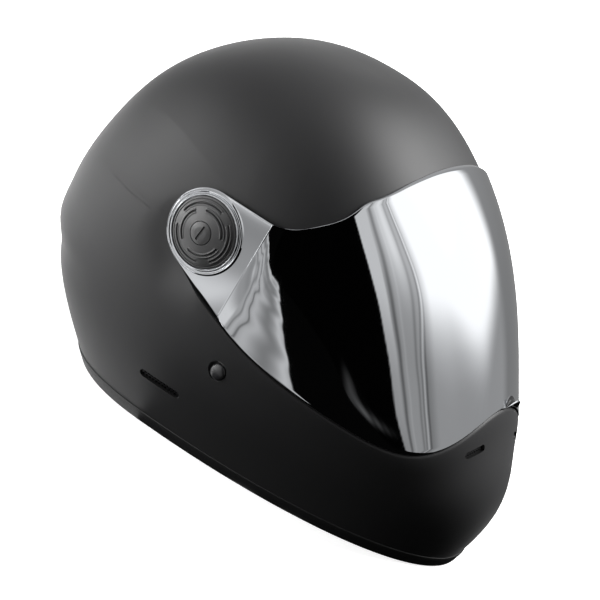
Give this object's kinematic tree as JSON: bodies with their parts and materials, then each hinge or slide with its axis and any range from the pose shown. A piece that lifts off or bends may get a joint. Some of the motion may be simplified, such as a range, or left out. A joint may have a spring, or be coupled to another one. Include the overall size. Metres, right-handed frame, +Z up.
{
  "type": "full-face downhill helmet",
  "caption": "Full-face downhill helmet with a smooth closed shell, a wide mirrored flip-up visor on round side dials, foam lining and chin straps.",
  "frame": {"origin": "middle of the helmet's outline on the plane that its rim trim stands on", "axes": "+Z up through the crown, +Y backwards from the chin bar to the nape, +X to the wearer's left"},
  "size_m": [0.2554, 0.3587, 0.258],
  "materials": {
    "shell": "soft-touch matte black paint on a moulded shell",
    "rubber_trim": "satin black edge rubber",
    "visor_mirror": "chrome-mirrored polycarbonate with dark tinted body",
    "dial_plastic": "moulded satin black",
    "screw_plastic": "black, coin slot",
    "hub_plastic": "black nylon",
    "steel": "plated steel",
    "rivet_black": "black painted rivet head",
    "mesh_plastic": "black vent mesh",
    "foam": "dark expanded polystyrene",
    "cushion": "brushed comfort cloth over foam",
    "webbing": "woven polyester webbing",
    "ring_steel": "welded steel wire ring"
  },
  "bodies": {
    "shell": {"outer_shell": "shell", "bottom_trim": "rubber_trim", "eyeport_seal": "rubber_trim", "pivot_hub_left": "hub_plastic", "pivot_hub_right": "hub_plastic", "pivot_nut_left": "steel", "pivot_nut_right": "steel", "strap_rivet_left": "rivet_black", "strap_rivet_right": "rivet_black", "rivet_washer_left": "steel", "rivet_washer_right": "steel", "side_vent_mesh_left": "mesh_plastic", "side_vent_mesh_right": "mesh_plastic", "chin_vent_mesh_left": "mesh_plastic", "chin_vent_mesh_right": "mesh_plastic", "crown_foam": "foam", "chin_foam": "foam", "cheek_core_left": "foam", "cheek_core_right": "foam", "cheek_pad_left": "cushion", "cheek_pad_right": "cushion", "crown_pad": "cushion", "neck_roll": "cushion", "strap_left": "webbing", "strap_right": "webbing"},
    "visor": {"visor": "visor_mirror"},
    "dial_left": {"dial_left": "dial_plastic", "dial_screw_left": "screw_plastic"},
    "dial_right": {"dial_right": "dial_plastic", "dial_screw_right": "screw_plastic"},
    "ring_inner": {"strap_ring_inner": "ring_steel"},
    "ring_outer": {"strap_ring_outer": "ring_steel"}
  },
  "joints": [
    {"name": "visor_hinge", "type": "hinge", "parent": "shell", "child": "visor", "pos_m": [0, 0.0329, 0.146], "axis": [-1, 0, 0], "range_deg": [0, 65]},
    {"name": "dial_left_turn", "type": "hinge", "parent": "shell", "child": "dial_left", "pos_m": [0, 0.0329, 0.146], "axis": [1, 0, 0], "range_deg": [0, 90]},
    {"name": "dial_right_turn", "type": "hinge", "parent": "shell", "child": "dial_right", "pos_m": [0, 0.0329, 0.146], "axis": [1, 0, 0], "range_deg": [0, 90]},
    {"name": "ring_inner_swing", "type": "hinge", "parent": "shell", "child": "ring_inner", "pos_m": [0.044, -0.0131, 0.024], "axis": [0, 1, 0], "range_deg": [0, 60]},
    {"name": "ring_outer_swing", "type": "hinge", "parent": "shell", "child": "ring_outer", "pos_m": [0.0476, -0.0131, 0.024], "axis": [0, -1, 0], "range_deg": [0, 40]}
  ]
}
